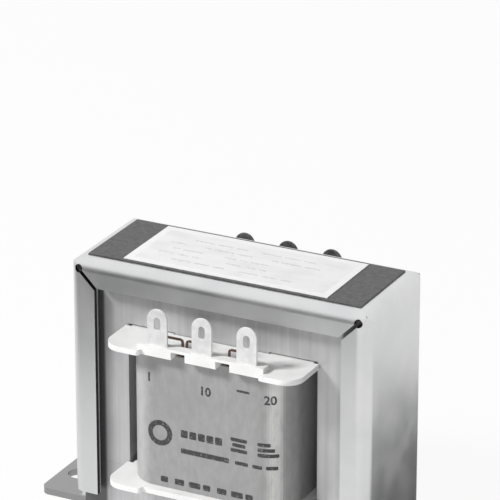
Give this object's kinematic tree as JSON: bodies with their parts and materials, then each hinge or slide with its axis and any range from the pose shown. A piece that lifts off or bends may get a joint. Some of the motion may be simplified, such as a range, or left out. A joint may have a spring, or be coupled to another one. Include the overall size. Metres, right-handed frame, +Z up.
{
  "type": "laminated chassis transformer",
  "caption": "Upright laminated-core transformer in a bent sheet-metal channel frame with slotted feet, a white bobbin with solder lugs and a paper-wrapped coil.",
  "frame": {"origin": "on the mounting plane under the feet, midway between the two feet and midway between front and back", "axes": "+Z up from the mounting plane, +X along the line of the two feet, -Y towards the front with the printed face of the coil"},
  "size_m": [0.09, 0.044, 0.0591],
  "materials": {
    "frame_steel": "zinc plated, satin",
    "core_steel": "annealed sheet under thin varnish",
    "bobbin_plastic": "moulded, natural white",
    "copper_wire": "enamelled copper",
    "insulation_film": "polyester film tape",
    "wrap_paper": "printed grey paper",
    "lug_metal": "tin plated",
    "solder": "bright, smooth",
    "plate_dark": "dark grey, fine grain",
    "label_white": "white, faint grey fields"
  },
  "bodies": {
    "root": {"channel_frame": "frame_steel", "e_laminations_upright": "core_steel", "e_laminations_inverted": "core_steel", "i_laminations_bottom": "core_steel", "i_laminations_top": "core_steel", "bobbin": "bobbin_plastic", "primary_winding": "copper_wire", "interwinding_insulation": "insulation_film", "secondary_winding": "copper_wire", "outer_insulation": "insulation_film", "coil_wrap": "wrap_paper", "lug_front_left": "lug_metal", "lug_front_middle": "lug_metal", "lug_front_right": "lug_metal", "lug_back_left": "lug_metal", "lug_back_middle": "lug_metal", "lug_back_right": "lug_metal", "lead_front_left": "copper_wire", "lead_front_middle": "copper_wire", "lead_front_right": "copper_wire", "lead_back_left": "copper_wire", "lead_back_middle": "copper_wire", "lead_back_right": "copper_wire", "solder_joints": "solder", "top_plate": "plate_dark", "top_label": "label_white"}
  },
  "joints": []
}
